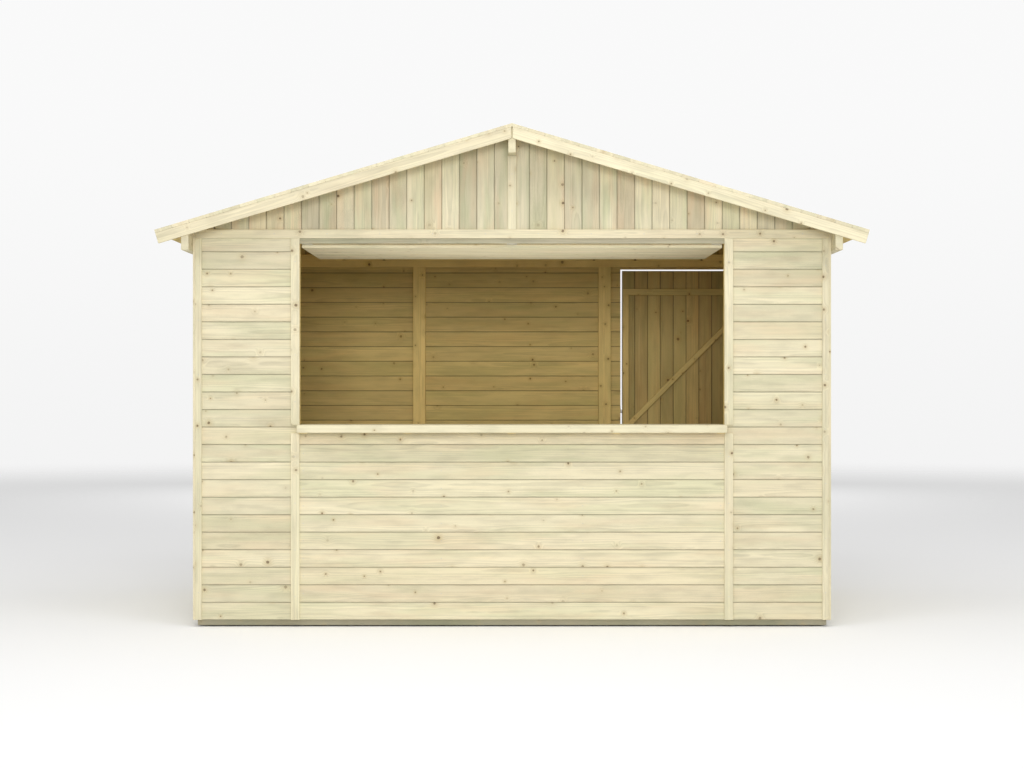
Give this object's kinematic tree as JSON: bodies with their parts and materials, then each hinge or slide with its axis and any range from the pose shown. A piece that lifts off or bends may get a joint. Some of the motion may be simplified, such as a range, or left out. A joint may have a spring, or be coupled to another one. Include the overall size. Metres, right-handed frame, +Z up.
{
  "type": "wooden market stall",
  "caption": "Boarded timber market stall with a gable roof, a wide serving hatch that folds up inside over a counter, and a ledged and braced door in the back wall.",
  "frame": {"origin": "middle of the footprint, on the ground", "axes": "+X to the right seen from the front, +Y from the serving hatch to the back wall, +Z up"},
  "size_m": [4.018, 2.486, 2.8499],
  "materials": {
    "wall_boards": "pressure-treated softwood, planed, unpainted",
    "frame_timber": "pressure-treated softwood framing, unpainted",
    "trim": "pale planed softwood strips, unpainted",
    "roof_boards": "planed softwood roof boards, unpainted",
    "floor_timber": "pressure-treated softwood floor, unpainted",
    "door_timber": "pressure-treated softwood door, unpainted",
    "zinc_steel": "zinc-plated steel hinges and hasp"
  },
  "bodies": {
    "stall": {"floor_runners": "floor_timber", "floor_rims": "floor_timber", "floor_joists": "floor_timber", "floor_boards": "floor_timber", "front_wall_left": "wall_boards", "front_wall_right": "wall_boards", "front_wall_centre": "wall_boards", "front_wall_header": "wall_boards", "front_studs": "frame_timber", "front_rails": "frame_timber", "counter_studs": "frame_timber", "left_wall": "wall_boards", "right_wall": "wall_boards", "side_studs": "frame_timber", "side_rails": "frame_timber", "back_wall_left": "wall_boards", "back_wall_middle": "wall_boards", "back_wall_beside_door": "wall_boards", "back_wall_over_door": "wall_boards", "back_studs": "frame_timber", "back_rails": "frame_timber", "front_gable": "wall_boards", "back_gable": "wall_boards", "gable_rails": "frame_timber", "gable_frames": "frame_timber", "roof_beams": "frame_timber", "roof_left": "roof_boards", "roof_right": "roof_boards", "bargeboards": "trim", "cover_strips": "trim", "side_strips": "trim", "fascia_strips": "trim", "counter_boards": "trim", "counter_rails": "trim", "counter_bearers": "frame_timber", "hinge_leaves": "zinc_steel"},
    "hatch": {"hatch_boards": "wall_boards", "hatch_battens": "frame_timber", "hatch_hinge_straps": "zinc_steel"},
    "door": {"door_boards": "door_timber", "door_ledges": "door_timber", "door_stiles": "door_timber", "door_braces": "door_timber", "door_hinge_straps": "zinc_steel", "door_hasp": "zinc_steel"}
  },
  "joints": [
    {"name": "hatch_fold", "type": "hinge", "parent": "stall", "child": "hatch", "pos_m": [0, -1.0412, 2.1885], "axis": [-1, 0, 0], "range_deg": [0, 90]},
    {"name": "door_swing", "type": "hinge", "parent": "stall", "child": "door", "pos_m": [1.711, 1.071, 1.1], "axis": [0, 0, -1], "range_deg": [0, 120]}
  ]
}
